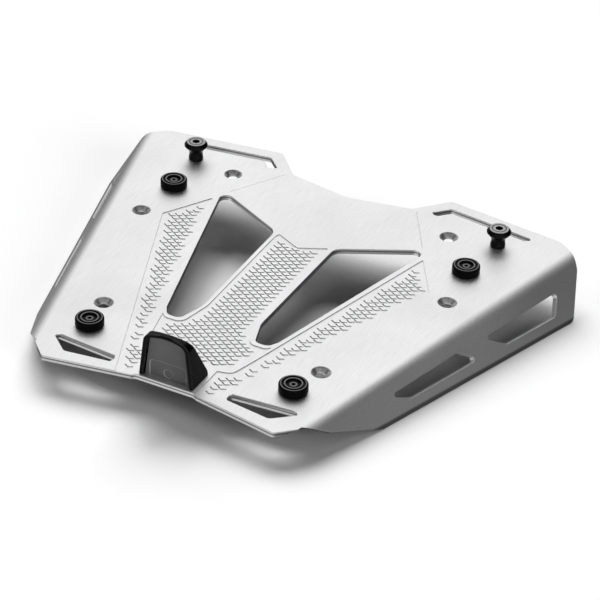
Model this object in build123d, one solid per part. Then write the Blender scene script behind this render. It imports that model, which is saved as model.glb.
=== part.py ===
from build123d import *
from math import atan2, ceil, cos, degrees, hypot, radians, sin, tan
import os

# Luggage rack plate for a motorcycle. Millimetres, +Z up, +Y towards the front
# of the motorcycle, +X to the right. While a piece is drawn, z = 0 is the top
# face of the plate; every piece is moved to the shared frame when it is saved.

# sheet
SHEET = 4.0
BEND_INNER_R = 6.0
BEND_ANGLE = 57.0
FOLD_X = 136.6
FOLD_SLOPE = 0.2602
SIDE_CUT_START = -2.3

# latch nose, standing on the rear edge of the plate
NOSE_FRONT_Y = -147.4
NOSE_DEPTH = 19.6
NOSE_REAR_WALL = 3.2
NOSE_HEIGHT = 33.2
NOSE_ARCH_RISE = 2.6
NOSE_HALF_FOOT = 19.1
NOSE_HALF_CROWN = 15.6
NOSE_SHOULDER_R = 4.0
NOSE_LEDGE = 1.8
NOSE_SIDE_LEDGE = 0.9
NOSE_RIM = 2.8
NOSE_RIM_TOP = 2.1
NOSE_TOP_R = 1.2
INSERT_SHOULDER_R = 2.6
INSERT_THICKNESS = 1.6
INSERT_SET_BACK = 2.4
INSERT_GAP = 0.15
APRON_MARGIN = 3.85
APRON_TOP = 12.0
APRON_RISE = 0.8
APRON_SHOULDER_R = 2.2
APRON_STEP = 0.6
DIMPLE_Z = 4.2
DIMPLE_R = 2.8
DIMPLE_DEPTH = 0.4

# outline of the flat top, right half: x, y, corner radius
notch_y = NOSE_FRONT_Y - NOSE_LEDGE
notch_x = NOSE_HALF_FOOT + NOSE_SIDE_LEDGE
TOP_OUTLINE = [
    (0, 108.8, 0),
    (5, 109.2, 25),
    (46.2, 117.2, 8),
    (66.9, 140.6, 4),
    (153.4, 128.8, 14),
    (171.6, 114.4, 4),
    (190, 66, 0),
    (230, 60, 0),
    (230, -20, 0),
    (81.6, -160.9, 4),
    (notch_x + 3, notch_y - 1.4, 0.8),
    (notch_x, notch_y, 0),
    (0, notch_y, 0),
]

# outline of the folded side: distance along the fold, distance down the side, radius
SIDE_OUTLINE = [
    (169.7, -10, 0),
    (131.6, 38.9, 7),
    (-61.6, 26.4, 6),
    (-102.5, 9.6, 8),
    (-130, -10, 0),
]
SIDE_WINDOWS = [
    [(46.2, 13.3, 1.8), (65.1, 25.6, 2.5), (116.6, 28.8, 2.5), (127.4, 15.0, 2.5)],
    [(-50.0, 10.7, 1.8), (-30.5, 19.6, 3), (36.2, 23.2, 1.8), (20.4, 12.0, 2.5)],
]

# openings in the top, right half
MAIN_WINDOW = [
    (79.4, 73.4, 5),
    (22.7, 43.1, 9),
    (21.5, -62, 18),
    (27.4, -81.5, 4.5),
    (36.6, -81.5, 4.5),
    (40.6, -74.4, 4),
]
FRONT_SLOT = [
    (60.9, 120.0, 0.8),
    (63.2, 117.7, 1.2),
    (67.6, 117.7, 0.8),
    (72.9, 124.3, 1.5),
    (129.6, 116.4, 1.5),
    (134.4, 120.2, 0.8),
    (132.6, 122.1, 1.5),
    (71.0, 130.6, 2),
]
REAR_SLOT = [
    (40.4, -139.3, 2),
    (41.0, -144.9, 2),
    (72.3, -149.2, 3),
    (85.9, -137.6, 0.8),
    (84.0, -135.7, 0.6),
]
REAR_SLOT_BEVEL = 1.8

# sunk tread panels, right half
PANEL_DEPTH = 0.6
CENTRE_PANEL = [
    (0, 31.6, 0),
    (18.3, 41.2, 0.8),
    (19.6, 37.5, 2),
    (18.6, -60, 16),
    (24.0, -85.0, 6.5),
    (36.5, -85.0, 5),
    (39.6, -81.4, 0.3),
    (34.6, -105, 8),
    (29.5, -116.0, 7),
    (20, -119.4, 0),
    (0, -119.4, 0),
]
SIDE_PANEL = [
    (80.4, 60.6, 0.6),
    (100.8, 25.0, 0.8),
    (26.0, -172, 0),
    (21.7, -172, 0),
    (21.7, -121.2, 0.6),
    (31.2, -119.0, 7),
    (37.4, -98.0, 18),
]
CREASE_START = (74.2, 73.6)
CREASE_END = (51.3, 114.6)
CREASE_WIDTH = 1.2
CREASE_DEPTH = 0.3

# lozenges of the tread
LOZENGE_HALF_X = 4.1
LOZENGE_HALF_Y = 2.57
LOZENGE_START_Y = -1.3
LOZENGE_FOOT = 0.90
LOZENGE_CROWN = 0.62
LOZENGE_ROOT = 0.2
CENTRE_TREAD = [
    (0, 32.0),
    (17.0, 40.0),
    (17.0, -60.0),
    (20.5, -79.0),
    (24.0, -86.0),
    (34.0, -86.0),
    (29.6, -110.0),
    (21.5, -117.0),
    (0, -117.6),
]
SIDE_TREAD = [
    (81.4, 55.5),
    (98.2, 26.0),
    (32.4, -149.2),
    (24.2, -149.2),
    (24.2, -122.4),
    (30.4, -120.6),
    (35.8, -114.6),
    (38.6, -106.0),
]

# places of the fittings, right half
EMPTY_HOLES = [(83.8, 96.2), (115.4, 21.2), (78.5, -90.4)]
STUD_PLACE = (117.3, 102.3)
FRONT_PAD_PLACE = (111.7, 60.2)
REAR_PAD_PLACE = (72.7, -117.3)
HOLE_BORE = 6.6
HOLE_SINK = 13.0

NOSE_SCREW_X = 9.5
NOSE_SCREW_BACK = 11.4

# stud for the case, M8
STUD_HEIGHT = 14.1
STUD_HEAD_R = 8.3
STUD_FACE_R = 6.6
STUD_HEAD_BEVEL = 2.1
STUD_HEAD_BAND = 1.1
STUD_FLARE = 4.1
STUD_NECK_R = 4.8
STUD_FOOT_R = 5.2
STUD_FOOT = 2.2
STUD_FOOT_TAPER = 2.0
STUD_GROOVE_R = 4.75
STUD_GROOVE_WIDTH = 0.6
STUD_GROOVE_DEPTH = 0.25
STUD_SHANK_R = 4.0
STUD_SOCKET = 5.0
STUD_SOCKET_DEPTH = 5.5
M8_FLATS = 13.0
M8_NUT = 6.5
M8_WASHER_R = 8.0
M8_WASHER = 1.6

# rubber pad and its screw, M3
PAD_R = 9.4
PAD_HEIGHT = 6.5
PAD_EDGE_R = 1.2
PAD_BASE_EDGE_R = 1.6
PAD_GROOVE_R = 6.8
PAD_GROOVE_WIDTH = 1.1
PAD_GROOVE_DEPTH = 1.0
PAD_DISH_R = 4.2
PAD_DISH_DEPTH = 1.3
PAD_FLOOR = 2.6
PAD_SCREW_R = 1.5
PAD_SCREW_HEAD_R = 2.75
PAD_SCREW_HEAD = 3.0
PAD_SCREW_SOCKET = 2.5
PAD_SCREW_SOCKET_DEPTH = 1.5
PAD_WELL_CLEARANCE = 0.35
M3_FLATS = 5.5
M3_NUT = 2.4
M3_WASHER_R = 3.5
M3_WASHER = 0.5

# nose screw, M5
NOSE_SCREW_R = 2.5
NOSE_SCREW_HEAD_R = 4.25
NOSE_SCREW_HEAD = 5.0
NOSE_SCREW_SOCKET = 4.0
NOSE_SCREW_SOCKET_DEPTH = 2.5
NOSE_SCREW_DEPTH = 9.0
M5_WASHER_R = 5.0
M5_WASHER = 1.0

THREAD_PAST_NUT = 1.5
THREAD_CHAMFER = 0.4
WASHER_CLEARANCE = 0.2
NUT_CLEARANCE = 0.1
BORE_CLEARANCE = 0.15

# longer than anything that is cut
FAR = 400.0

os.makedirs("parts", exist_ok=True)


def rounded_face(corners, place=Plane.XY):
    """Face inside straight lines, each corner rounded with its own radius."""
    pieces = []
    ends = []
    count = len(corners)
    for i in range(count):
        px, py = corners[i - 1][:2]
        cx, cy, radius = corners[i]
        nx, ny = corners[(i + 1) % count][:2]
        if radius == 0:
            ends.append(((cx, cy), (cx, cy)))
            continue
        ax, ay = px - cx, py - cy
        bx, by = nx - cx, ny - cy
        la, lb = hypot(ax, ay), hypot(bx, by)
        ax, ay, bx, by = ax / la, ay / la, bx / lb, by / lb
        half = abs(atan2(ax * by - ay * bx, ax * bx + ay * by)) / 2
        reach = radius / tan(half)
        mx, my = ax + bx, ay + by
        lm = hypot(mx, my)
        depth = radius / sin(half) - radius
        start = (cx + ax * reach, cy + ay * reach)
        end = (cx + bx * reach, cy + by * reach)
        middle = (cx + mx / lm * depth, cy + my / lm * depth)
        pieces.append(ThreePointArc(start, middle, end))
        ends.append((start, end))
    for i in range(count):
        a = ends[i - 1][1]
        b = ends[i][0]
        if hypot(a[0] - b[0], a[1] - b[1]) > 0.001:
            pieces.append(Line(a, b))
    return place * make_face(pieces)


def sink(corners, depth):
    """Block reaching from above the plate down to a depth below its top face."""
    return extrude(Pos(0, 0, -depth) * rounded_face(corners), FAR)


def through(corners):
    """Block through the flat top."""
    return extrude(rounded_face(corners), FAR, both=True)


def inside(x, y, corners):
    """Whether a point lies inside a polygon."""
    hit = False
    count = len(corners)
    for i in range(count):
        x1, y1 = corners[i - 1]
        x2, y2 = corners[i]
        if (y1 > y) != (y2 > y) and x < x1 + (y - y1) * (x2 - x1) / (y2 - y1):
            hit = not hit
    return hit


def turned(corners):
    """Solid of revolution about the Z axis from radius, height, corner radius."""
    outline = [(0, corners[0][1], 0)] + corners + [(0, corners[-1][1], 0)]
    return revolve(rounded_face(outline, Plane.XZ), Axis.Z)


def hexagon(flats, height):
    """Hexagonal block standing on z = 0."""
    return extrude(RegularPolygon(flats / 2, 6, major_radius=False), height)


# folded sheet
fold_length = hypot(1, FOLD_SLOPE)
along = Vector(FOLD_SLOPE / fold_length, 1 / fold_length, 0)
outward = Vector(1 / fold_length, -FOLD_SLOPE / fold_length, 0)
fold_foot = outward * (FOLD_X / fold_length)
bend = radians(BEND_ANGLE)
down = outward * cos(bend) + Vector(0, 0, -sin(bend))
side_normal = outward * sin(bend) + Vector(0, 0, cos(bend))
bend_outer_r = BEND_INNER_R + SHEET
bend_tangent = bend_outer_r * tan(bend / 2)


def sheet_profile():
    """Cross-section of the right half of the sheet, square to the fold."""
    mid = bend / 2
    centre = (-bend_tangent, -bend_outer_r)

    def on_arc(radius, angle):
        return (centre[0] + radius * sin(angle), centre[1] + radius * cos(angle))

    def down_side(point):
        return (point[0] + FAR * cos(bend), point[1] - FAR * sin(bend))

    outer = [on_arc(bend_outer_r, a) for a in (0, mid, bend)]
    inner = [on_arc(BEND_INNER_R, a) for a in (0, mid, bend)]
    tip_out = down_side(outer[2])
    tip_in = down_side(inner[2])
    lines = [
        Line((-FAR, 0), outer[0]),
        ThreePointArc(*outer),
        Line(outer[2], tip_out),
        Line(tip_out, tip_in),
        Line(tip_in, inner[2]),
        ThreePointArc(*inner),
        Line(inner[0], (-FAR, -SHEET)),
        Line((-FAR, -SHEET), (-FAR, 0)),
    ]
    return make_face(lines)


profile_plane = Plane(origin=fold_foot, x_dir=outward, z_dir=-along)
side_plane = Plane(origin=fold_foot, x_dir=along, z_dir=-side_normal)

half = extrude(profile_plane * sheet_profile(), FAR, both=True)
half = half & extrude(rounded_face(TOP_OUTLINE), FAR, both=True)

side_waste = Plane.XY * Rectangle(2 * FAR, 2 * FAR)
side_waste = Pos(0, FAR + SIDE_CUT_START, 0) * side_waste - rounded_face(SIDE_OUTLINE)
side_cut = 3 * SHEET
half = half - extrude(side_plane * side_waste, side_cut, both=True)

for corners in SIDE_WINDOWS:
    half = half - extrude(side_plane * rounded_face(corners), side_cut, both=True)

# openings and sunk panels
half = half - through(MAIN_WINDOW)
half = half - through(FRONT_SLOT)
half = half - through(REAR_SLOT)

x1, y1 = REAR_SLOT[0][:2]
x2, y2 = REAR_SLOT[4][:2]
bevel_angle = degrees(atan2(y2 - y1, x2 - x1))
bevel = Pos((x1 + x2) / 2, (y1 + y2) / 2, 0) * Rot(0, 0, bevel_angle) * Rot(45, 0, 0)
bevel_length = hypot(x2 - x1, y2 - y1) - REAR_SLOT[0][2] - REAR_SLOT[4][2]
half = half - bevel * Box(bevel_length, REAR_SLOT_BEVEL, REAR_SLOT_BEVEL)

half = half - sink(CENTRE_PANEL, PANEL_DEPTH)
half = half - sink(SIDE_PANEL, PANEL_DEPTH)

sx, sy = CREASE_START
ex, ey = CREASE_END
crease_angle = degrees(atan2(ey - sy, ex - sx))
crease_section = Polyline(
    (-CREASE_WIDTH, CREASE_DEPTH),
    (CREASE_WIDTH, CREASE_DEPTH),
    (0, -CREASE_DEPTH),
    close=True,
)
crease = extrude(Plane.YZ * make_face(crease_section), hypot(ex - sx, ey - sy))
half = half - Pos(sx, sy, 0) * Rot(0, 0, crease_angle) * crease

# holes
for x, y in EMPTY_HOLES:
    bore = Cylinder(HOLE_BORE / 2, 4 * SHEET)
    cone_depth = (HOLE_SINK - HOLE_BORE) / 2
    cone = Pos(0, 0, -cone_depth / 2) * Cone(HOLE_BORE / 2, HOLE_SINK / 2, cone_depth)
    half = half - Pos(x, y, 0) * (bore + cone)

nose_screw_place = (NOSE_SCREW_X, NOSE_FRONT_Y + NOSE_SCREW_BACK)
plain_holes = [
    (STUD_PLACE, STUD_SHANK_R),
    (FRONT_PAD_PLACE, PAD_SCREW_R),
    (REAR_PAD_PLACE, PAD_SCREW_R),
    (nose_screw_place, NOSE_SCREW_R),
]
for (x, y), radius in plain_holes:
    half = half - Pos(x, y, 0) * Cylinder(radius + BORE_CLEARANCE, 4 * SHEET)

plate = half + mirror(half, about=Plane.YZ)

# tread: whole lozenges standing on the floor of the sunk panels


def lozenge_face(scale, z):
    a = LOZENGE_HALF_X * scale
    b = LOZENGE_HALF_Y * scale
    return Pos(0, 0, z) * make_face(Polyline((a, 0), (0, b), (-a, 0), (0, -b), close=True))


lozenge = loft(
    [
        lozenge_face(LOZENGE_FOOT, -PANEL_DEPTH - LOZENGE_ROOT),
        lozenge_face(LOZENGE_CROWN, 0),
    ]
)


def whole(x, y, corners):
    """Whether a lozenge centred on a point lies inside a polygon."""
    a = LOZENGE_HALF_X * 0.8
    b = LOZENGE_HALF_Y * 0.8
    tips = [(x + a, y), (x - a, y), (x, y + b), (x, y - b)]
    return all(inside(u, v, corners) for u, v in tips)


full_centre = [(-x, y) for x, y in CENTRE_TREAD[-2:0:-1]] + CENTRE_TREAD
tread_reach_x = max(abs(x) for x, y in CENTRE_TREAD + SIDE_TREAD)
tread_reach_y = max(abs(y) for x, y in CENTRE_TREAD + SIDE_TREAD)
columns = ceil(tread_reach_x / LOZENGE_HALF_X)
rows = ceil(tread_reach_y / LOZENGE_HALF_Y / 2)
lozenges = []
for column in range(-columns, columns + 1):
    x = column * LOZENGE_HALF_X
    for row in range(-rows, rows + 1):
        y = LOZENGE_START_Y + (2 * row + column % 2) * LOZENGE_HALF_Y
        in_centre = whole(x, y, full_centre)
        in_side = whole(abs(x), y, SIDE_TREAD)
        if in_centre or in_side:
            lozenges.append(Pos(x, y, 0) * lozenge)
plate = plate.fuse(*lozenges)

# fittings


def bored(shape, radius):
    """The shape with a bore along its axis."""
    return shape - Cylinder(radius, FAR)


def socketed(shape, flats, top, depth):
    """The shape with a hexagon socket sunk from its top."""
    return shape - Pos(0, 0, top - depth) * hexagon(flats, FAR)


def washer(outer_r, bore_r, thickness):
    return bored(Pos(0, 0, thickness / 2) * Cylinder(outer_r, thickness), bore_r)


def nut(flats, bore_r, height):
    """Hexagon nut with turned-down corners, standing on z = 0."""
    corner_r = flats / 2 / cos(radians(30))
    drop = (corner_r - flats / 2) * tan(radians(30))
    blank = turned(
        [
            (flats / 2, 0, 0),
            (corner_r, drop, 0),
            (corner_r, height - drop, 0),
            (flats / 2, height, 0),
        ]
    )
    return bored(hexagon(flats, height) & blank, bore_r)


def groove(radius, width, depth, top):
    """Corners of a ring groove, from its outer edge to its inner edge."""
    slope = 0.2
    return [
        (radius + width / 2 + slope, top, 0),
        (radius + width / 2, top - depth, 0),
        (radius - width / 2, top - depth, 0),
        (radius - width / 2 - slope, top, 0),
    ]


stud_edge_z = STUD_HEIGHT - STUD_HEAD_BEVEL
stud_under_z = stud_edge_z - STUD_HEAD_BAND
stud_tip_z = -(SHEET + M8_WASHER + M8_NUT + THREAD_PAST_NUT)
stud = turned(
    [
        (STUD_SHANK_R - 2 * THREAD_CHAMFER, stud_tip_z, 0),
        (STUD_SHANK_R, stud_tip_z + 2 * THREAD_CHAMFER, 0),
        (STUD_SHANK_R, 0, 0),
        (STUD_FOOT_R, 0, 0.6),
        (STUD_FOOT_R, STUD_FOOT, 1.2),
        (STUD_NECK_R, STUD_FOOT + STUD_FOOT_TAPER, 3.0),
        (STUD_NECK_R, stud_under_z - STUD_FLARE, 3.0),
        (STUD_HEAD_R, stud_under_z, 0.3),
        (STUD_HEAD_R, stud_edge_z, 0.5),
        (STUD_FACE_R, STUD_HEIGHT, 0.5),
    ]
    + groove(STUD_GROOVE_R, STUD_GROOVE_WIDTH, STUD_GROOVE_DEPTH, STUD_HEIGHT)
)
stud = socketed(stud, STUD_SOCKET, STUD_HEIGHT, STUD_SOCKET_DEPTH)

pad_well_r = PAD_SCREW_HEAD_R + PAD_WELL_CLEARANCE
pad_dish_z = PAD_HEIGHT - PAD_DISH_DEPTH
pad = turned(
    [
        (PAD_R, 0, PAD_BASE_EDGE_R),
        (PAD_R, PAD_HEIGHT, PAD_EDGE_R),
    ]
    + groove(PAD_GROOVE_R, PAD_GROOVE_WIDTH, PAD_GROOVE_DEPTH, PAD_HEIGHT)
    + [
        (PAD_DISH_R + PAD_DISH_DEPTH / 2, PAD_HEIGHT, 0.25),
        (PAD_DISH_R, pad_dish_z, 0),
        (pad_well_r, pad_dish_z, 0),
        (pad_well_r, PAD_FLOOR, 0),
    ]
)
pad = bored(pad, PAD_SCREW_R + BORE_CLEARANCE)

pad_screw_top = PAD_FLOOR + PAD_SCREW_HEAD
pad_screw_tip_z = -(SHEET + M3_WASHER + M3_NUT + THREAD_PAST_NUT)
pad_screw = turned(
    [
        (PAD_SCREW_R - THREAD_CHAMFER, pad_screw_tip_z, 0),
        (PAD_SCREW_R, pad_screw_tip_z + THREAD_CHAMFER, 0),
        (PAD_SCREW_R, PAD_FLOOR, 0),
        (PAD_SCREW_HEAD_R, PAD_FLOOR, 0),
        (PAD_SCREW_HEAD_R, pad_screw_top, 0.3),
    ]
)
pad_screw = socketed(pad_screw, PAD_SCREW_SOCKET, pad_screw_top, PAD_SCREW_SOCKET_DEPTH)

stud_washer = washer(M8_WASHER_R, STUD_SHANK_R + WASHER_CLEARANCE, M8_WASHER)
stud_nut = nut(M8_FLATS, STUD_SHANK_R + NUT_CLEARANCE, M8_NUT)
pad_washer = washer(M3_WASHER_R, PAD_SCREW_R + WASHER_CLEARANCE, M3_WASHER)
pad_nut = nut(M3_FLATS, PAD_SCREW_R + NUT_CLEARANCE, M3_NUT)


def arched_face(half_foot, half_crown, shoulder, top, shoulder_r, foot_z):
    """Upright face with tapered sides, round shoulders and an arched top."""
    lean = (half_foot - half_crown) / shoulder
    foot = (half_foot - lean * foot_z, foot_z)
    corner = (half_crown, shoulder)
    arch_start = (half_crown - shoulder_r, shoulder + (top - shoulder) * 0.35)
    side_end = (half_crown + lean * shoulder_r, shoulder - shoulder_r)
    bow = 0.3 * shoulder_r
    bow_mid = (corner[0] - bow, corner[1] - bow * 0.75)
    lines = [
        Line((-foot[0], foot[1]), foot),
        Line(foot, side_end),
        ThreePointArc(side_end, bow_mid, arch_start),
        ThreePointArc(arch_start, (0, top), (-arch_start[0], arch_start[1])),
        ThreePointArc(
            (-arch_start[0], arch_start[1]),
            (-bow_mid[0], bow_mid[1]),
            (-side_end[0], side_end[1]),
        ),
        Line((-side_end[0], side_end[1]), (-foot[0], foot[1])),
    ]
    return Plane.XZ * make_face(lines)


nose_rear_y = NOSE_FRONT_Y + NOSE_DEPTH
insert_front_y = NOSE_FRONT_Y + INSERT_SET_BACK
insert_back_y = insert_front_y + INSERT_THICKNESS
nose_side = [
    (NOSE_FRONT_Y, 0, 0),
    (NOSE_FRONT_Y, NOSE_HEIGHT, NOSE_TOP_R),
    (insert_back_y, NOSE_HEIGHT, NOSE_TOP_R),
    (nose_rear_y, NOSE_REAR_WALL, NOSE_TOP_R),
    (nose_rear_y, 0, 0),
]
nose = extrude(rounded_face(nose_side, Plane.YZ), FAR, both=True)
nose_shoulder = NOSE_HEIGHT - NOSE_ARCH_RISE
nose_front = arched_face(
    NOSE_HALF_FOOT, NOSE_HALF_CROWN, nose_shoulder, NOSE_HEIGHT, NOSE_SHOULDER_R, 0
)
nose = nose & extrude(nose_front, FAR, both=True)


def inset_face(gap, foot_z):
    """Outline of the insert or, with no gap, of the recess that holds it."""
    return arched_face(
        NOSE_HALF_FOOT - NOSE_RIM - gap,
        NOSE_HALF_CROWN - NOSE_RIM - gap,
        nose_shoulder - NOSE_RIM_TOP - gap,
        NOSE_HEIGHT - NOSE_RIM_TOP - gap,
        INSERT_SHOULDER_R,
        foot_z,
    )


nose = nose - extrude(Pos(0, insert_back_y, 0) * inset_face(0, -1), FAR)
insert_face = Pos(0, insert_back_y, 0) * inset_face(INSERT_GAP, 0)
latch_insert = extrude(insert_face, INSERT_THICKNESS)

apron_half = NOSE_HALF_FOOT - NOSE_RIM - APRON_MARGIN
apron = arched_face(
    apron_half, apron_half, APRON_TOP - APRON_RISE, APRON_TOP, APRON_SHOULDER_R, -1
)
apron_face_y = insert_front_y + APRON_STEP
latch_insert = latch_insert - extrude(Pos(0, apron_face_y, 0) * apron, FAR)
dimple = Pos(0, apron_face_y, DIMPLE_Z) * Rot(90, 0, 0)
latch_insert = latch_insert - dimple * Cylinder(DIMPLE_R, 2 * DIMPLE_DEPTH)

for side in (-1, 1):
    hole = Cylinder(NOSE_SCREW_R + BORE_CLEARANCE, 2 * NOSE_SCREW_DEPTH)
    nose = nose - Pos(side * nose_screw_place[0], nose_screw_place[1], 0) * hole

nose_screw_head_z = -(SHEET + M5_WASHER)
nose_screw_base_z = nose_screw_head_z - NOSE_SCREW_HEAD
nose_screw = turned(
    [
        (NOSE_SCREW_HEAD_R, nose_screw_base_z, 0.4),
        (NOSE_SCREW_HEAD_R, nose_screw_head_z, 0),
        (NOSE_SCREW_R, nose_screw_head_z, 0),
        (NOSE_SCREW_R, NOSE_SCREW_DEPTH - 3 * THREAD_CHAMFER, 0),
        (NOSE_SCREW_R - THREAD_CHAMFER, NOSE_SCREW_DEPTH - 2 * THREAD_CHAMFER, 0),
    ]
)
nose_socket = hexagon(NOSE_SCREW_SOCKET, 2 * NOSE_SCREW_SOCKET_DEPTH)
nose_screw -= Pos(0, 0, nose_screw_base_z - NOSE_SCREW_SOCKET_DEPTH) * nose_socket
nose_washer = washer(M5_WASHER_R, NOSE_SCREW_R + WASHER_CLEARANCE, M5_WASHER)

# saving: the lowest point of the plate is z = 0, its middle is x = y = 0
box = plate.bounding_box()
shift = Pos(0, -(box.min.Y + box.max.Y) / 2, -box.min.Z)


def save(shape, name, x=0, y=0, z=0):
    export_step(shift * Pos(x, y, z) * shape, f"parts/{name}.step")


save(plate, "plate")
save(nose, "latch_nose")
save(latch_insert, "latch_insert")
for side, word in ((-1, "left"), (1, "right")):
    x, y = side * STUD_PLACE[0], STUD_PLACE[1]
    save(stud, f"stud_{word}", x, y)
    save(stud_washer, f"stud_washer_{word}", x, y, -SHEET - M8_WASHER)
    save(stud_nut, f"stud_nut_{word}", x, y, -SHEET - M8_WASHER - M8_NUT)
    for end, place in (("front", FRONT_PAD_PLACE), ("rear", REAR_PAD_PLACE)):
        x, y = side * place[0], place[1]
        save(pad, f"pad_{end}_{word}", x, y)
        save(pad_screw, f"pad_screw_{end}_{word}", x, y)
        save(pad_washer, f"pad_washer_{end}_{word}", x, y, -SHEET - M3_WASHER)
        save(pad_nut, f"pad_nut_{end}_{word}", x, y, -SHEET - M3_WASHER - M3_NUT)
    x, y = side * nose_screw_place[0], nose_screw_place[1]
    save(nose_screw, f"nose_screw_{word}", x, y)
    save(nose_washer, f"nose_washer_{word}", x, y, -SHEET - M5_WASHER)
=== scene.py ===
"""Motorcycle luggage rack plate: finishes, broken edges, studio light and camera."""

import logging
import math
from dataclasses import dataclass, field
from enum import Enum

import bmesh
import bpy
from mathutils import Matrix, Vector


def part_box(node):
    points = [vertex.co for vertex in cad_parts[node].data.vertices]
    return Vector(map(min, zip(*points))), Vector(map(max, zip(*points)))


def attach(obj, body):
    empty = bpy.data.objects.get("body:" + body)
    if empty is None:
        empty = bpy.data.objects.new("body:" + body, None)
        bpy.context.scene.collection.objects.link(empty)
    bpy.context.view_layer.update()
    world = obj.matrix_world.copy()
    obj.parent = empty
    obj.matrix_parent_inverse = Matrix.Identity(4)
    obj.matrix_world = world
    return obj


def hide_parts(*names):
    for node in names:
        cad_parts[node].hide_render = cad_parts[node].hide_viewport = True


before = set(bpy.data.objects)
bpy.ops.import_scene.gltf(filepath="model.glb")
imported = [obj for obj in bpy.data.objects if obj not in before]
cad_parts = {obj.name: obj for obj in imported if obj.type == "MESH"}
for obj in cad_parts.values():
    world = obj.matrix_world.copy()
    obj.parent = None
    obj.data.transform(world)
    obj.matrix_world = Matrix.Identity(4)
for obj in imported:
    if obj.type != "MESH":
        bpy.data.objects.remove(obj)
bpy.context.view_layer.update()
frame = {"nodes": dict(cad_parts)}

LOG = logging.getLogger("rack")
MM = 0.001
BODY = "root"

Rgb = tuple[float, float, float]


class Side(Enum):
    """The two sides of the rack."""

    LEFT = "left"
    RIGHT = "right"


class End(Enum):
    """The two ends of the rack."""

    FRONT = "front"
    REAR = "rear"


class Effect(Enum):
    """Shader node groups that several finishes share."""

    GRAIN = "brushed_grain"
    SPECKLE = "fine_speckle"
    CLOUD = "broad_cloud"
    BAND = "height_band"
    RING = "round_crest"


def grey(value: float) -> tuple[float, float, float, float]:
    """A neutral colour.

    Args:
        value: Linear brightness from 0 to 1.

    Returns:
        The colour with full alpha.
    """
    return (value, value, value, 1.0)


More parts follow.
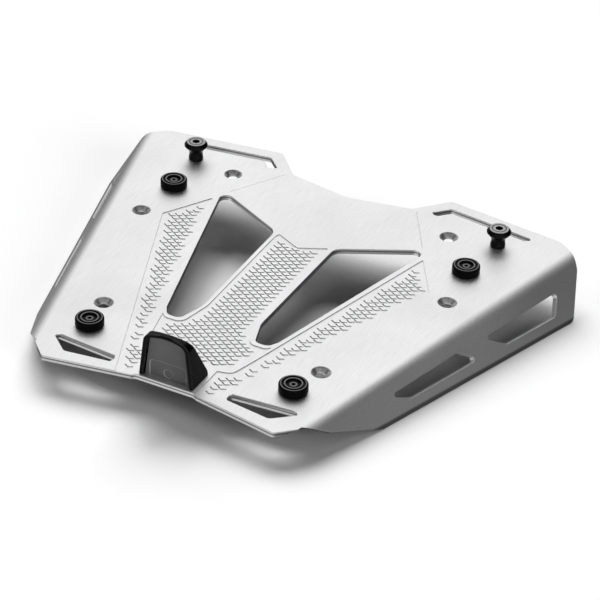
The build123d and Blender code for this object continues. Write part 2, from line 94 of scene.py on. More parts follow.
class EffectLibrary:
    """Builds each shared node group once and places it in materials."""

    def __init__(self) -> None:
        """Starts with no group made."""
        self.groups: dict[Effect, bpy.types.NodeTree] = {}

    def get(self, effect: Effect) -> bpy.types.NodeTree:
        """Gives the node group of an effect, made on first use.

        Args:
            effect: Which shared effect.

        Returns:
            The node group.
        """
        if effect not in self.groups:
            makers = {
                Effect.GRAIN: self._grain,
                Effect.SPECKLE: self._speckle,
                Effect.CLOUD: self._cloud,
                Effect.BAND: self._band,
                Effect.RING: self._ring,
            }
            self.groups[effect] = makers[effect]()
        return self.groups[effect]

    @staticmethod
    def _start(effect: Effect, inputs: dict[str, float]) -> tuple[bpy.types.NodeTree, dict]:
        """Makes an empty group with a vector input, named values and one value out.

        Args:
            effect: The effect that names the group.
            inputs: Names of the value inputs, with their defaults.

        Returns:
            The group and its input and output nodes.
        """
        group = bpy.data.node_groups.new(effect.value, "ShaderNodeTree")
        group.interface.new_socket("Vector", in_out="INPUT", socket_type="NodeSocketVector")
        for name, value in inputs.items():
            socket = group.interface.new_socket(name, in_out="INPUT", socket_type="NodeSocketFloat")
            socket.default_value = value
        group.interface.new_socket("Value", in_out="OUTPUT", socket_type="NodeSocketFloat")
        ends = {
            "in": group.nodes.new("NodeGroupInput"),
            "out": group.nodes.new("NodeGroupOutput"),
        }
        return group, ends

    def _grain(self) -> bpy.types.NodeTree:
        """Long fine scratches along Y, as left by a brushing belt.

        Returns:
            The node group, with a value from 0 to 1.
        """
        group, ends = self._start(Effect.GRAIN, {"Across": 2600.0, "Along": 60.0})
        nodes, links = group.nodes, group.links
        split = nodes.new("ShaderNodeSeparateXYZ")
        links.new(ends["in"].outputs["Vector"], split.inputs[0])
        join = nodes.new("ShaderNodeCombineXYZ")
        for axis, factor in (("X", "Across"), ("Y", "Along"), ("Z", "Across")):
            scale = nodes.new("ShaderNodeMath")
            scale.operation = "MULTIPLY"
            links.new(split.outputs[axis], scale.inputs[0])
            links.new(ends["in"].outputs[factor], scale.inputs[1])
            links.new(scale.outputs[0], join.inputs[axis])
        noise = nodes.new("ShaderNodeTexNoise")
        noise.inputs["Scale"].default_value = 1.0
        noise.inputs["Detail"].default_value = 3.0
        noise.inputs["Roughness"].default_value = 0.65
        links.new(join.outputs[0], noise.inputs["Vector"])
        links.new(noise.outputs["Fac"], ends["out"].inputs["Value"])
        return group

    def _noise(
        self, effect: Effect, scale: float, detail: float, roughness: float, distortion: float = 0.0
    ) -> bpy.types.NodeTree:
        """Even noise with a scale input.

        Args:
            effect: The effect that names the group.
            scale: Default of the scale input.
            detail: Number of finer layers.
            roughness: Strength of the finer layers.
            distortion: How much the pattern is warped.

        Returns:
            The node group, with a value from 0 to 1.
        """
        group, ends = self._start(effect, {"Scale": scale})
        noise = group.nodes.new("ShaderNodeTexNoise")
        noise.inputs["Detail"].default_value = detail
        noise.inputs["Roughness"].default_value = roughness
        noise.inputs["Distortion"].default_value = distortion
        group.links.new(ends["in"].outputs["Vector"], noise.inputs["Vector"])
        group.links.new(ends["in"].outputs["Scale"], noise.inputs["Scale"])
        group.links.new(noise.outputs["Fac"], ends["out"].inputs["Value"])
        return group

    def _speckle(self) -> bpy.types.NodeTree:
        """Fine even speckle, as in blasted metal or moulded rubber."""
        return self._noise(Effect.SPECKLE, scale=1500.0, detail=2.0, roughness=0.7)

    def _cloud(self) -> bpy.types.NodeTree:
        """Broad soft unevenness, as from handling and anodising."""
        return self._noise(Effect.CLOUD, scale=18.0, detail=4.0, roughness=0.5, distortion=0.4)

    @staticmethod
    def _step(
        group: bpy.types.NodeTree,
        value: bpy.types.NodeSocket,
        start: bpy.types.NodeSocket,
        soft: bpy.types.NodeSocket,
    ) -> bpy.types.NodeSocket:
        """Turns a value into a soft step.

        Args:
            group: The group that holds the nodes.
            value: The value to test.
            start: Where the step begins.
            soft: How wide the step is.

        Returns:
            0 up to the start, and 1 from the start and the width on.
        """
        end = group.nodes.new("ShaderNodeMath")
        group.links.new(start, end.inputs[0])
        group.links.new(soft, end.inputs[1])
        step = group.nodes.new("ShaderNodeMapRange")
        step.interpolation_type = "SMOOTHSTEP"
        group.links.new(value, step.inputs["Value"])
        group.links.new(start, step.inputs["From Min"])
        group.links.new(end.outputs[0], step.inputs["From Max"])
        return step.outputs["Result"]

    def _band(self) -> bpy.types.NodeTree:
        """A level band between two heights.

        Returns:
            The node group, with 1 in the band and 0 well outside it.
        """
        group, ends = self._start(Effect.BAND, {"Low": 0.0, "High": 1.0, "Soft": 0.0003})
        nodes, links = group.nodes, group.links
        split = nodes.new("ShaderNodeSeparateXYZ")
        links.new(ends["in"].outputs["Vector"], split.inputs[0])
        height, soft = split.outputs["Z"], ends["in"].outputs["Soft"]
        low = self._step(group, height, ends["in"].outputs["Low"], soft)
        high = self._step(group, height, ends["in"].outputs["High"], soft)
        band = nodes.new("ShaderNodeMath")
        band.operation = "SUBTRACT"
        links.new(low, band.inputs[0])
        links.new(high, band.inputs[1])
        links.new(band.outputs[0], ends["out"].inputs["Value"])
        return group

    def _ring(self) -> bpy.types.NodeTree:
        """A round crest about an upright axis.

        Returns:
            The node group, with 1 on the crest and 0 away from it.
        """
        group, ends = self._start(Effect.RING, {"X": 0.0, "Y": 0.0, "Radius": 0.005, "Soft": 0.0006})
        nodes, links = group.nodes, group.links
        centre = nodes.new("ShaderNodeCombineXYZ")
        links.new(ends["in"].outputs["X"], centre.inputs["X"])
        links.new(ends["in"].outputs["Y"], centre.inputs["Y"])
        flat = nodes.new("ShaderNodeVectorMath")
        flat.operation = "MULTIPLY"
        flat.inputs[1].default_value = (1, 1, 0)
        links.new(ends["in"].outputs["Vector"], flat.inputs[0])
        away = nodes.new("ShaderNodeVectorMath")
        away.operation = "DISTANCE"
        links.new(flat.outputs[0], away.inputs[0])
        links.new(centre.outputs[0], away.inputs[1])
        off = nodes.new("ShaderNodeMath")
        off.operation = "SUBTRACT"
        links.new(away.outputs["Value"], off.inputs[0])
        links.new(ends["in"].outputs["Radius"], off.inputs[1])
        near = nodes.new("ShaderNodeMath")
        near.operation = "ABSOLUTE"
        links.new(off.outputs[0], near.inputs[0])
        crest = nodes.new("ShaderNodeMapRange")
        crest.interpolation_type = "SMOOTHSTEP"
        crest.inputs["To Min"].default_value = 1.0
        crest.inputs["To Max"].default_value = 0.0
        links.new(near.outputs[0], crest.inputs["Value"])
        links.new(ends["in"].outputs["Soft"], crest.inputs["From Max"])
        links.new(crest.outputs["Result"], ends["out"].inputs["Value"])
        return group


EFFECTS = EffectLibrary()


class MaterialBuilder:
    """A Principled material with helpers for its masks."""

    noise_low = 0.3
    noise_high = 0.7
    shelter_rays = 6

    def __init__(self, name: str) -> None:
        """Makes the material.

        Args:
            name: The material's name.
        """
        self.material = bpy.data.materials.new(name)
        self.material.use_nodes = True
        self.nodes = self.material.node_tree.nodes
        self.links = self.material.node_tree.links
        self.shader = self.nodes["Principled BSDF"]
        surface = self.nodes.new("ShaderNodeTexCoord")
        self.place = surface.outputs["Object"]
        self.facing = surface.outputs["Normal"]

    def set(self, socket: str, value: float) -> None:
        """Sets a constant on the shader's own socket."""
        self.shader.inputs[socket].default_value = value

    def effect(self, effect: Effect, **values: float) -> bpy.types.NodeSocket:
        """Places a shared effect.

        Args:
            effect: Which shared effect.
            values: Values for the group's inputs, by name.

        Returns:
            The effect's value socket.
        """
        node = self.nodes.new("ShaderNodeGroup")
        node.node_tree = EFFECTS.get(effect)
        self.links.new(self.place, node.inputs["Vector"])
        for name, value in values.items():
            node.inputs[name].default_value = value
        return node.outputs["Value"]

    def spread(self, source: bpy.types.NodeSocket, low: float, high: float) -> bpy.types.NodeSocket:
        """Maps a mask around its middle to a span of values.

        Args:
            source: A noise value.
            low: What the low end becomes.
            high: What the high end becomes.

        Returns:
            The mapped value.
        """
        node = self.nodes.new("ShaderNodeMapRange")
        node.inputs["From Min"].default_value = self.noise_low
        node.inputs["From Max"].default_value = self.noise_high
        node.inputs["To Min"].default_value = low
        node.inputs["To Max"].default_value = high
        self.links.new(source, node.inputs["Value"])
        return node.outputs["Result"]

    def blend_colours(self, mask: bpy.types.NodeSocket, low: Rgb, high: Rgb) -> bpy.types.NodeSocket:
        """Mixes two colours by a mask.

        Args:
            mask: A noise value.
            low: Colour at the low end.
            high: Colour at the high end.

        Returns:
            The colour socket.
        """
        ramp = self.nodes.new("ShaderNodeValToRGB")
        ramp.color_ramp.elements[0].position = self.noise_low
        ramp.color_ramp.elements[1].position = self.noise_high
        ramp.color_ramp.elements[0].color = (*low, 1.0)
        ramp.color_ramp.elements[1].color = (*high, 1.0)
        self.links.new(mask, ramp.inputs["Fac"])
        return ramp.outputs["Color"]

    def cover(
        self, base: bpy.types.NodeSocket, mask: bpy.types.NodeSocket, colour: Rgb
    ) -> bpy.types.NodeSocket:
        """Lays a second colour over the first where a mask is 1.

        Args:
            base: The colour underneath.
            mask: Where the second colour shows, from 0 to 1.
            colour: The second colour.

        Returns:
            The mixed colour.
        """
        mix = self.nodes.new("ShaderNodeMix")
        mix.data_type = "RGBA"
        mix.inputs[7].default_value = (*colour, 1.0)
        self.links.new(mask, mix.inputs[0])
        self.links.new(base, mix.inputs[6])
        return mix.outputs[2]

    def calculate(self, operation: str, *values: bpy.types.NodeSocket | float) -> bpy.types.NodeSocket:
        """Works a value out of others.

        Args:
            operation: The math node's operation.
            values: Its inputs in order, each a socket or a number.

        Returns:
            The result.
        """
        node = self.nodes.new("ShaderNodeMath")
        node.operation = operation
        for socket, value in zip(node.inputs, values):
            if isinstance(value, float):
                socket.default_value = value
            else:
                self.links.new(value, socket)
        return node.outputs[0]

    def along(self, vector: bpy.types.NodeSocket, axis: str) -> bpy.types.NodeSocket:
        """Gives one coordinate of a vector.

        Args:
            vector: The vector.
            axis: X, Y or Z.

        Returns:
            The coordinate.
        """
        split = self.nodes.new("ShaderNodeSeparateXYZ")
        self.links.new(vector, split.inputs[0])
        return split.outputs[axis]

    def fade(self, value: bpy.types.NodeSocket, full: float, clear: float) -> bpy.types.NodeSocket:
        """Makes a mask that falls off softly.

        Args:
            value: What the mask depends on.
            full: Value up to which the mask is 1.
            clear: Value from which the mask is 0.

        Returns:
            The mask.
        """
        node = self.nodes.new("ShaderNodeMapRange")
        node.interpolation_type = "SMOOTHSTEP"
        node.inputs["From Min"].default_value = full
        node.inputs["From Max"].default_value = clear
        node.inputs["To Min"].default_value = 1.0
        node.inputs["To Max"].default_value = 0.0
        self.links.new(value, node.inputs["Value"])
        return node.outputs["Result"]

    def sheltered(self, reach: float, closed: float, clear: float) -> bpy.types.NodeSocket:
        """Finds places that other surfaces shelter from the open.

        Args:
            reach: How far off a surface counts.
            closed: Openness at which the mask is full.
            clear: Openness at which the mask ends.

        Returns:
            The mask.
        """
        shelter = self.nodes.new("ShaderNodeAmbientOcclusion")
        shelter.samples = self.shelter_rays
        shelter.inputs["Distance"].default_value = reach
        return self.fade(shelter.outputs["AO"], closed, clear)

    def bump(self, height: bpy.types.NodeSocket, strength: float, depth: float) -> None:
        """Feeds a height into the shader's normal.

        Args:
            height: The height mask.
            strength: How much of the bump shows, from 0 to 1.
            depth: Height of the bump in metres.
        """
        node = self.nodes.new("ShaderNodeBump")
        node.inputs["Strength"].default_value = strength
        node.inputs["Distance"].default_value = depth
        self.links.new(height, node.inputs["Height"])
        self.links.new(node.outputs["Normal"], self.shader.inputs["Normal"])

    def feed(self, source: bpy.types.NodeSocket, socket: str) -> None:
        """Links a value or colour to the shader."""
        self.links.new(source, self.shader.inputs[socket])


@dataclass(frozen=True)
class BrushedAluminium:
    """Clear anodised sheet with a fine lengthwise brushed grain; its cut walls, sinks and broken edges
    carry a painted highlight, the upper part of its cut walls painted shade, and the flanges' lower rim a
    painted contact shadow.
    """

    dark: Rgb = (0.71, 0.71, 0.715)
    light: Rgb = (0.87, 0.87, 0.875)
    # Painted highlight on the cut walls, turned sinks and broken edges.
    cut: Rgb = (0.97, 0.97, 0.97)
    # Painted shade along the upper part of the cut walls, between these depths below the top.
    wall_top_shade: Rgb = (0.30, 0.30, 0.305)
    wall_shade_top: float = 1.25 * MM
    wall_shade_depth: float = 2.3 * MM
    wall_shade_soft: float = 0.35 * MM
    wall_tilt: float = 0.4
    turned_slope: float = 0.70
    turned_reach: tuple[float, float] = (0.06, 0.20)
    polish: float = -0.26
    # Painted contact shadow along the flanges' lower rim, near the floor.
    foot_shade: Rgb = (0.24, 0.24, 0.242)
    foot_slope: float = math.tan(math.radians(3.25))
    foot_band: tuple[float, float] = (9.0 * MM, 10.6 * MM)
    fold_lean: float = 0.2602
    flat_width: float = 125.0 * MM
    roughness: tuple[float, float] = (0.50, 0.60)
    anisotropy: float = 0.30
    grain_depth: float = 0.012 * MM
    grain_strength: float = 0.25

    def _foot_shade(self, kit: MaterialBuilder) -> bpy.types.NodeSocket:
        """Finds the lower rim of the tapered flanges, which gets a painted contact shadow.

        Args:
            kit: The material's builder.

        Returns:
            The mask.
        """
        height = kit.calculate(
            "MULTIPLY_ADD", kit.along(kit.place, "Y"), self.foot_slope, kit.along(kit.place, "Z")
        )
        return kit.fade(height, *self.foot_band)

    def _flat_part(self, kit: MaterialBuilder) -> bpy.types.NodeSocket:
        """Finds the part of the sheet between the two leaning bends.

        Args:
            kit: The material's builder.

        Returns:
            The mask.
        """
        across = kit.calculate("ABSOLUTE", kit.along(kit.place, "X"))
        reach = kit.calculate("MULTIPLY_ADD", kit.along(kit.place, "Y"), -self.fold_lean, across)
        return kit.calculate("LESS_THAN", reach, self.flat_width)

    def _slopes(self, kit: MaterialBuilder) -> bpy.types.NodeSocket:
        """Finds the slopes of about 45 degrees in the flat part: the turned sinks and the broken edges.

        Args:
            kit: The material's builder.

        Returns:
            The mask.
        """
        away = kit.calculate("SUBTRACT", kit.along(kit.facing, "Z"), self.turned_slope)
        mask = kit.fade(kit.calculate("ABSOLUTE", away), *self.turned_reach)
        return kit.calculate("MULTIPLY", mask, self._flat_part(kit))

    def _paint_wall_highlight_and_shade(
        self, kit: MaterialBuilder, base: bpy.types.NodeSocket, top: float
    ) -> bpy.types.NodeSocket:
        """Paints a highlight on the upright cut edges and a band of painted shade along their upper zone.

        Args:
            kit: The material's builder.
            base: The colour so far.
            top: Height of the sheet's top.

        Returns:
            The new colour.
        """
        tilt = kit.calculate("ABSOLUTE", kit.along(kit.facing, "Z"))
        wall = kit.calculate("LESS_THAN", tilt, self.wall_tilt)
        low, high = top - self.wall_shade_depth, top - self.wall_shade_top
        band = kit.effect(Effect.BAND, Low=low, High=high, Soft=self.wall_shade_soft)
        # Painted highlight over the upright walls.
        bright = kit.cover(base, wall, self.cut)
        # Painted shade in a band along the top of the walls.
        return kit.cover(bright, kit.calculate("MULTIPLY", band, wall), self.wall_top_shade)

    def build(self, top: float) -> bpy.types.Material:
        """Makes the material.

        Args:
            top: Height of the sheet's top.

        Returns:
            The finished material.
        """
        kit = MaterialBuilder("brushed_aluminium")
        grain = kit.effect(Effect.GRAIN)
        cloud = kit.effect(Effect.CLOUD)
        kit.set("Metallic", 1.0)
        kit.set("Anisotropic", self.anisotropy)
        colour = kit.blend_colours(grain, self.dark, self.light)
        slopes = self._slopes(kit)
        # Painted highlight on the turned sinks and broken edges.
        colour = kit.cover(colour, slopes, self.cut)
        colour = self._paint_wall_highlight_and_shade(kit, colour, top)
        # Painted contact shadow along the flanges' lower rim.
        kit.feed(kit.cover(colour, self._foot_shade(kit), self.foot_shade), "Base Color")
        uneven = kit.calculate("MULTIPLY", kit.calculate("ADD", grain, cloud), 0.5)
        matt = kit.spread(uneven, *self.roughness)
        kit.feed(kit.calculate("MULTIPLY_ADD", slopes, self.polish, matt), "Roughness")
        kit.bump(grain, self.grain_strength, self.grain_depth)
        return kit.material


@dataclass(frozen=True)
class BlackSteel:
    """Black plated steel, with a painted highlight on the face at its top."""

    name: str
    dark: Rgb = (0.012, 0.012, 0.012)
    light: Rgb = (0.028, 0.028, 0.028)
    # Painted highlight on the top face.
    face: Rgb = (0.27, 0.27, 0.273)
    face_depth: float = 0.3 * MM
    face_reach: float = 1.0
    roughness: tuple[float, float] = (0.28, 0.40)
    speckle_scale: float = 2200.0
    cloud_scale: float = 300.0
    bump_strength: float = 0.15
    bump_depth: float = 0.01 * MM

    def build(self, top: float) -> bpy.types.Material:
        """Makes the material.

        Args:
            top: Height of the face.

        Returns:
            The finished material.
        """
        kit = MaterialBuilder(self.name)
        speckle = kit.effect(Effect.SPECKLE, Scale=self.speckle_scale)
        cloud = kit.effect(Effect.CLOUD, Scale=self.cloud_scale)
        kit.set("Metallic", 1.0)
        low, high = top - self.face_depth, top + self.face_reach
        face = kit.effect(Effect.BAND, Low=low, High=high, Soft=self.face_depth / 2)
        plated = kit.blend_colours(speckle, self.dark, self.light)
        # Painted highlight on the top face.
        kit.feed(kit.cover(plated, face, self.face), "Base Color")
        kit.feed(kit.spread(cloud, *self.roughness), "Roughness")
        kit.bump(speckle, self.bump_strength, self.bump_depth)
        return kit.material


@dataclass(frozen=True)
class MouldedRubber:
    """Black rubber with a faint mould texture and painted highlights on its ring crests."""

    dark: Rgb = (0.001, 0.001, 0.001)
    light: Rgb = (0.004, 0.004, 0.004)
    # Painted highlight on the ring crests.
    crest_highlight: Rgb = (0.17, 0.17, 0.173)
    roughness: tuple[float, float] = (0.36, 0.48)
    crests: tuple[tuple[float, float], ...] = ((5.5 * MM, 0.7 * MM), (8.0 * MM, 0.5 * MM))
    gloss: float = 0.06
    speckle_scale: float = 1400.0
    bump_strength: float = 0.2
    bump_depth: float = 0.02 * MM

    def build(self, name: str, centre: Vector) -> bpy.types.Material:
        """Makes the material of one pad.

        Args:
            name: The material's name.
            centre: The pad's middle.

        Returns:
            The finished material.
        """
        kit = MaterialBuilder(name)
        speckle = kit.effect(Effect.SPECKLE, Scale=self.speckle_scale)
        kit.set("Specular IOR Level", self.gloss)
        colour = kit.blend_colours(speckle, self.dark, self.light)
        # Painted highlights on the ring crests.
        for radius, soft in self.crests:
            crest = kit.effect(Effect.RING, X=centre.x, Y=centre.y, Radius=radius, Soft=soft)
            colour = kit.cover(colour, crest, self.crest_highlight)
        kit.feed(colour, "Base Color")
        kit.feed(kit.spread(speckle, *self.roughness), "Roughness")
        kit.bump(speckle, self.bump_strength, self.bump_depth)
        return kit.material


@dataclass(frozen=True)
class MouldedPlastic:
    """Black or dark grey plastic, glossy or satin."""

    name: str
    dark: Rgb
    light: Rgb
    roughness: tuple[float, float]
    bump_depth: float
    gloss: float
    bump_strength: float = 0.25
    speckle_scale: float = 2600.0
    cloud_scale: float = 60.0

    def build(self) -> bpy.types.Material:
        """Makes the material.

        Returns:
            The finished material.
        """
        kit = MaterialBuilder(self.name)
        speckle = kit.effect(Effect.SPECKLE, Scale=self.speckle_scale)
        cloud = kit.effect(Effect.CLOUD, Scale=self.cloud_scale)
        kit.set("Specular IOR Level", self.gloss)
        kit.feed(kit.blend_colours(cloud, self.dark, self.light), "Base Color")
        kit.feed(kit.spread(cloud, *self.roughness), "Roughness")
        kit.bump(speckle, self.bump_strength, self.bump_depth)
        return kit.material


@dataclass(frozen=True)
class ZincSteel:
    """Bright zinc plated steel of nuts, washers and screws."""

    dark: Rgb = (0.45, 0.45, 0.46)
    light: Rgb = (0.62, 0.62, 0.63)
    roughness: tuple[float, float] = (0.28, 0.42)
    speckle_scale: float = 1800.0
    cloud_scale: float = 220.0
    bump_strength: float = 0.1
    bump_depth: float = 0.01 * MM

    def build(self) -> bpy.types.Material:
        """Makes the material.

        Returns:
            The finished material.
        """
        kit = MaterialBuilder("zinc_steel")
        cloud = kit.effect(Effect.CLOUD, Scale=self.cloud_scale)
        speckle = kit.effect(Effect.SPECKLE, Scale=self.speckle_scale)
        kit.set("Metallic", 1.0)
        kit.feed(kit.blend_colours(cloud, self.dark, self.light), "Base Color")
        kit.feed(kit.spread(cloud, *self.roughness), "Roughness")
        kit.bump(speckle, self.bump_strength, self.bump_depth)
        return kit.material


def dress(piece: bpy.types.Object, material: bpy.types.Material) -> None:
    """Gives a piece one material in all its slots.

    Args:
        piece: The object.
        material: Its finish.
    """
    if not piece.material_slots:
        piece.data.materials.append(material)
    for place in piece.material_slots:
        place.material = material


def deselect() -> None:
    """Deselects every object."""
    bpy.ops.object.select_all(action="DESELECT")


def activate(piece: bpy.types.Object) -> None:
    """Selects one object alone and makes it the active one."""
    deselect()
    piece.select_set(True)
    bpy.context.view_layer.objects.active = piece


@dataclass
class EdgeFinish:
    """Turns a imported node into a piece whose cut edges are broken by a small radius."""

    width: float
    angle: float = math.radians(40)
    least_wall: float = 1.0 * MM
    segments: int = 2
    merge: float = 0.001 * MM
    flatness: float = math.radians(0.4)
    smooth: float = math.radians(50)

    def refine(
        self, node: str, name: str, slot: str, finish: bpy.types.Material, edges: bpy.types.Material
    ) -> bpy.types.Object:
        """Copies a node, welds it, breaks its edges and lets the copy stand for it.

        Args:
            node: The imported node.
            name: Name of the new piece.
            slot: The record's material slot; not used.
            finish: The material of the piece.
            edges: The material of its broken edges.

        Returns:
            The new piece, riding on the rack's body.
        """
        source = frame["nodes"][node]
        activate(source)
        bpy.ops.object.duplicate()
        piece = bpy.context.view_layer.objects.active
        piece.name = name
        for key in list(piece.keys()):
            if key.startswith("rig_"):
                del piece[key]
        piece.parent = None
        piece.matrix_world = Matrix.Identity(4)
        bpy.ops.mesh.customdata_custom_splitnormals_clear()
        bpy.ops.object.mode_set(mode="EDIT")
        bpy.ops.mesh.select_all(action="SELECT")
        bpy.ops.mesh.remove_doubles(threshold=self.merge)
        bpy.ops.mesh.dissolve_limited(angle_limit=self.flatness)
        self._select_cut_edges(piece)
        bpy.ops.mesh.bevel(offset=self.width, segments=self.segments, affect="EDGES", clamp_overlap=False)
        piece.data.materials.clear()
        piece.data.materials.append(finish)
        piece.data.materials.append(edges)
        piece.active_material_index = 1
        self._keep_strips(piece)
        bpy.ops.object.material_slot_assign()
        bpy.ops.object.mode_set(mode="OBJECT")
        broken = sum(face.material_index for face in piece.data.polygons)
        LOG.info("%s: %d of %d faces are broken edges", name, broken, len(piece.data.polygons))
        bpy.ops.object.shade_smooth_by_angle(angle=self.smooth)
        even = piece.modifiers.new("even_shading", "WEIGHTED_NORMAL")
        even.keep_sharp = True
        bpy.ops.object.modifier_apply(modifier=even.name)
        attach(piece, BODY)
        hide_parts(node)
        return piece

    def _keep_strips(self, piece: bpy.types.Object) -> None:
        """Leaves only the narrow faces of the broken edges selected.

        Args:
            piece: The bevelled copy, in edit mode.
        """
        bpy.ops.mesh.select_mode(type="FACE")
        shape = bmesh.from_edit_mesh(piece.data)
        strips = [
            face for face in shape.faces
            if face.select and 2.0 * face.calc_area() < face.calc_perimeter() * self.width
        ]
        bpy.ops.mesh.select_all(action="DESELECT")
        for face in strips:
            face.select_set(True)
        bmesh.update_edit_mesh(piece.data)

    def _select_cut_edges(self, piece: bpy.types.Object) -> None:
        """Selects the sharp outer edges, apart from those of a shallow pattern in the top.

        Args:
            piece: The welded copy, in edit mode.
        """
        bpy.ops.mesh.select_mode(type="EDGE")
        bpy.ops.mesh.select_all(action="DESELECT")
        shape = bmesh.from_edit_mesh(piece.data)
        deep = max(vert.co.z for vert in shape.verts) - self.least_wall
        for edge in shape.edges:
            if len(edge.link_faces) != 2 or not edge.is_convex:
                continue
            lowest = min(vert.co.z for face in edge.link_faces for vert in face.verts)
            if edge.calc_face_angle(0.0) >= self.angle and lowest <= deep:
                edge.select_set(True)
        bmesh.update_edit_mesh(piece.data)


@dataclass
class RackPlate:
    """The folded sheet."""

    finish: BrushedAluminium = field(default_factory=BrushedAluminium)
    edge: EdgeFinish = field(default_factory=lambda: EdgeFinish(0.45 * MM))

    def build(self) -> None:
        """Breaks the sheet's edges and dresses it."""
        material = self.finish.build(Vector(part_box("plate")[1]).z)
        dress(frame["nodes"]["plate"], material)
        sheet = self.edge.refine("plate", "plate_sheet", "plate", material, material)
        LOG.info("plate dressed: %d faces", len(sheet.data.polygons))


@dataclass
class LatchNose:
    """The wedge at the rear edge and the face plate let into it."""

    body: MouldedPlastic = MouldedPlastic(
        "gloss_black",
        dark=(0.001, 0.001, 0.001),
        light=(0.003, 0.003, 0.003),
        roughness=(0.20, 0.28),
        bump_depth=0.004 * MM,
        gloss=0.06,
    )
    face: MouldedPlastic = MouldedPlastic(
        "satin_grey",
        dark=(0.124, 0.124, 0.127),
        light=(0.150, 0.150, 0.153),
        roughness=(0.36, 0.44),
        bump_depth=0.012 * MM,
        gloss=0.18,
    )
    # Broken edges of the wedge: a lighter black that paints a highlight, with a glossier coat.
    body_edge_highlight: MouldedPlastic = MouldedPlastic(
        "gloss_black_edge_highlight",
        dark=(0.010, 0.010, 0.010),
        light=(0.016, 0.016, 0.016),
        roughness=(0.22, 0.30),
        bump_depth=0.004 * MM,
        gloss=0.4,
    )
    # Broken edges of the face plate: a lighter grey that paints a highlight.
    face_edge_highlight: MouldedPlastic = MouldedPlastic(
        "satin_grey_edge_highlight",
        dark=(0.27, 0.27, 0.275),
        light=(0.33, 0.33, 0.335),
        roughness=(0.34, 0.42),
        bump_depth=0.012 * MM,
        gloss=0.5,
    )
    body_break: EdgeFinish = field(default_factory=lambda: EdgeFinish(0.35 * MM, least_wall=0.0))
    face_break: EdgeFinish = field(default_factory=lambda: EdgeFinish(0.55 * MM, least_wall=0.0))

    def build(self) -> None:
        """Breaks the edges of the wedge and its face and dresses them."""
        for node, name, slot, corners, finish, edges in (
            ("latch_nose", "latch_wedge", "nose_plastic", self.body_break, self.body, self.body_edge_highlight),
            ("latch_insert", "latch_face", "insert_plastic", self.face_break, self.face, self.face_edge_highlight),
        ):
            material = finish.build()
            dress(frame["nodes"][node], material)
            # The broken edges take the second material, which carries a painted highlight.
            corners.refine(node, name, slot, material, edges.build())


@dataclass
class Fittings:
    """Studs, rubber pads and the screws, washers and nuts that hold them."""

    stud: BlackSteel = BlackSteel("black_stud")
    # The pad screws get a dimmer painted highlight on their top face.
    screw: BlackSteel = BlackSteel("black_screw", face=(0.09, 0.09, 0.09))
    rubber: MouldedRubber = field(default_factory=MouldedRubber)
    zinc: ZincSteel = field(default_factory=ZincSteel)

    def build(self) -> None:
        """Dresses each fitting."""
        nodes = frame["nodes"]
        stud = self.stud.build(self._top("stud_left"))
        screw = self.screw.build(self._top("pad_screw_front_left"))
        zinc = self.zinc.build()
        for side in Side:
            word = side.value
            dress(nodes[f"stud_{word}"], stud)
            for name in ("stud_washer", "stud_nut", "nose_screw", "nose_washer"):
                dress(nodes[f"{name}_{word}"], zinc)
            for end in End:
                place = f"{end.value}_{word}"
                low, high = (Vector(corner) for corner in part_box(f"pad_{place}"))
                dress(nodes[f"pad_{place}"], self.rubber.build(f"rubber_{place}", (low + high) / 2))
                dress(nodes[f"pad_screw_{place}"], screw)
                dress(nodes[f"pad_washer_{place}"], zinc)
                dress(nodes[f"pad_nut_{place}"], zinc)
                LOG.info("pad %s dressed", place)
            LOG.info("stud %s dressed", word)

    @staticmethod
    def _top(node: str) -> float:
        """Gives the height of a node's highest point."""
        return Vector(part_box(node)[1]).z


def direction(turn: float, rise: float) -> Vector:
    """Turns two angles into a direction.

    Args:
        turn: Angle from +Y towards +X, in degrees.
        rise: Angle above the floor, in degrees.

    Returns:
        The unit vector.
    """
    side, up = math.radians(turn), math.radians(rise)
    return Vector((math.sin(side) * math.cos(up), math.cos(side) * math.cos(up), math.sin(up)))


@dataclass(frozen=True)
class Key:
    """A soft lamp far away, turned from +Y towards +X and risen from the floor, in degrees."""

    turn: float
    rise: float
    share: float


@dataclass(frozen=True)
class Softbox:
    """A soft round glow in the surroundings that glossy surfaces mirror, placed as a key is."""

    turn: float
    rise: float
    strength: float

    def towards(self) -> Vector:
        """Gives the unit vector from the rack to the glow."""
        return direction(self.turn, self.rise)


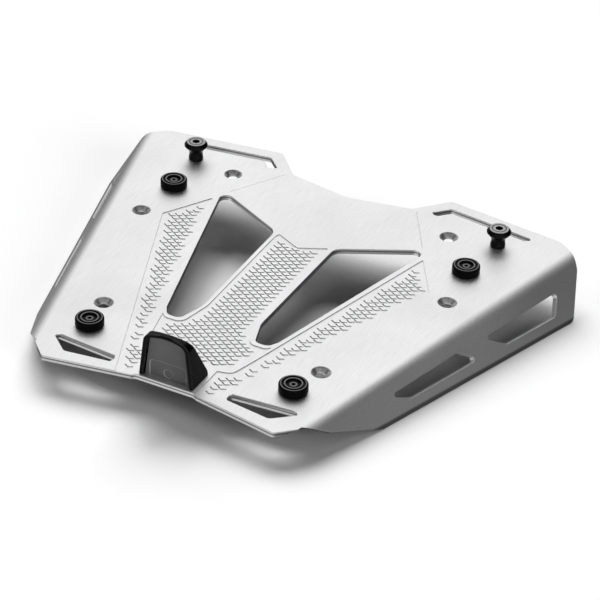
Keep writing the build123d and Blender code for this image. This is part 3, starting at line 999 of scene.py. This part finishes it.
@dataclass
class Studio:
    """Pale floor, soft light and the camera at the photograph's angle."""

    azimuth: float = 0.4432989
    elevation: float = 0.5854057
    roll: float = 0.0438582
    camera_at: tuple[float, float, float] = (0.546477, -1.100965, 0.831980)
    lens: float = 132.867
    sensor: float = 36.0
    far: float = 50.0
    floor_half: float = 6.0
    floor_tilt: float = -math.radians(3.25)
    floor_height: float = 0.0073
    floor_white: float = 0.92
    floor_stain: float = 0.004
    floor_cloud: float = 3.0
    floor_roughness: float = 0.9
    # Painted shade on the floor under and near the rack, from how sheltered each spot is.
    shelter_reach: float = 46.0 * MM
    shelter_closed: float = 0.10
    shelter_clear: float = 0.62
    shelter_shade: float = 0.40
    keys: tuple[Key, ...] = (
        Key(-45, 36, 0.42),
        Key(-15, 36, 0.36),
        Key(110, 18, 0.13),
        Key(-110, 36, 0.07),
    )
    key_spread: float = math.radians(34)
    fill: float = 0.0
    box_spread: float = 36
    boxes: tuple[Softbox, ...] = (
        Softbox(-25, 32, 1.35),
        Softbox(0, 32, 0.46),
        Softbox(100, 32, 0.33),
        Softbox(150, 32, 0.51),
        Softbox(-150, 32, 0.31),
        Softbox(-60, 62, 1.34),
        Softbox(0, 62, 0.61),
        Softbox(-25, 5, 0.18),
        Softbox(-75, 5, 0.42),
        Softbox(120, 5, 1.03),
        Softbox(180, 5, 1.12),
        Softbox(-150, -28, 1.28),
    )

    def build(self) -> None:
        """Makes the stage."""
        self._floor()
        self._key_lights()
        self._world()
        self._camera()
        bpy.context.scene.view_settings.view_transform = "Standard"
        LOG.info("stage ready")

    def _floor(self) -> None:
        """A large plane that touches both ends of the tapered flanges, with painted shade on it under the
        rack.
        """
        deselect()
        bpy.ops.mesh.primitive_plane_add(size=2 * self.floor_half)
        floor = bpy.context.view_layer.objects.active
        floor.name = "floor"
        floor.location = (0, 0, self.floor_height)
        floor.rotation_euler = (self.floor_tilt, 0, 0)
        floor.visible_glossy = False
        kit = MaterialBuilder("pale_floor")
        cloud = kit.effect(Effect.CLOUD, Scale=self.floor_cloud)
        shade = self.floor_white
        colour = kit.blend_colours(cloud, (shade - self.floor_stain,) * 3, (shade,) * 3)
        # Painted shade on the floor under the rack.
        under_rack_shade = kit.sheltered(self.shelter_reach, self.shelter_closed, self.shelter_clear)
        kit.feed(kit.cover(colour, under_rack_shade, (self.shelter_shade,) * 3), "Base Color")
        kit.set("Roughness", self.floor_roughness)
        kit.set("Specular IOR Level", 0.0)
        dress(floor, kit.material)

    def _key_lights(self) -> None:
        """Wide lamps, mostly beyond the rack as the camera sees it, that shape the shadows on the floor."""
        for index, key in enumerate(self.keys):
            towards = direction(key.turn, key.rise)
            lamp = bpy.data.lights.new(f"key_{index}", "SUN")
            lamp.energy = key.share * math.pi / self.floor_white / towards.z
            lamp.angle = self.key_spread
            light = bpy.data.objects.new(lamp.name, lamp)
            bpy.context.scene.collection.objects.link(light)
            light.rotation_mode = "QUATERNION"
            light.rotation_quaternion = towards.to_track_quat("Z", "Y")
            light.visible_glossy = False

    def _mirrored(self, nodes: bpy.types.Nodes, links: bpy.types.NodeLinks) -> bpy.types.NodeSocket:
        """Adds the softboxes up.

        Args:
            nodes: The world's nodes.
            links: The world's links.

        Returns:
            The brightness by direction.
        """
        place = nodes.new("ShaderNodeTexCoord").outputs["Generated"]
        total = None
        for box in self.boxes:
            facing = nodes.new("ShaderNodeVectorMath")
            facing.operation = "DOT_PRODUCT"
            facing.inputs[1].default_value = box.towards()
            links.new(place, facing.inputs[0])
            glow = nodes.new("ShaderNodeMapRange")
            glow.interpolation_type = "SMOOTHSTEP"
            glow.inputs["From Min"].default_value = math.cos(math.radians(self.box_spread))
            glow.inputs["To Max"].default_value = box.strength
            links.new(facing.outputs["Value"], glow.inputs["Value"])
            add = nodes.new("ShaderNodeMath")
            add.inputs[1].default_value = 0.0
            links.new(glow.outputs["Result"], add.inputs[0])
            if total is not None:
                links.new(total, add.inputs[1])
            total = add.outputs[0]
        return total

    def _world(self) -> None:
        """Softboxes for glossy rays, white for the camera and the fill for all other rays."""
        world = bpy.data.worlds.new("studio")
        bpy.context.scene.world = world
        world.use_nodes = True
        nodes, links = world.node_tree.nodes, world.node_tree.links
        fill = nodes["Background"]
        fill.inputs["Color"].default_value = grey(1.0)
        fill.inputs["Strength"].default_value = self.fill
        mirrored = nodes.new("ShaderNodeBackground")
        links.new(self._mirrored(nodes, links), mirrored.inputs["Strength"])
        seen = nodes.new("ShaderNodeBackground")
        seen.inputs["Color"].default_value = grey(1.0)
        ray = nodes.new("ShaderNodeLightPath")
        shader = fill.outputs[0]
        for kind, other in (("Is Glossy Ray", mirrored), ("Is Camera Ray", seen)):
            mix = nodes.new("ShaderNodeMixShader")
            links.new(ray.outputs[kind], mix.inputs[0])
            links.new(shader, mix.inputs[1])
            links.new(other.outputs[0], mix.inputs[2])
            shader = mix.outputs[0]
        links.new(shader, nodes["World Output"].inputs["Surface"])

    def _camera(self) -> None:
        """The camera, turned by azimuth, elevation and roll."""
        data = bpy.data.cameras.new("camera")
        data.lens = self.lens
        data.sensor_width = self.sensor
        data.clip_end = self.far
        camera = bpy.data.objects.new("camera", data)
        bpy.context.scene.collection.objects.link(camera)
        az, el, roll = self.azimuth, self.elevation, self.roll
        back = Vector((math.sin(az) * math.cos(el), -math.cos(az) * math.cos(el), math.sin(el)))
        level = Vector((math.cos(az), math.sin(az), 0))
        upright = back.cross(level)
        right = math.cos(roll) * level + math.sin(roll) * upright
        up = back.cross(right)
        turn = Matrix((right, up, back)).transposed().to_4x4()
        camera.matrix_world = Matrix.Translation(self.camera_at) @ turn
        bpy.context.scene.camera = camera


def main() -> None:
    """Builds the rack's looks and the stage."""
    logging.basicConfig(level=logging.INFO)
    RackPlate().build()
    LatchNose().build()
    Fittings().build()
    Studio().build()


if __name__ == "__main__":
    main()
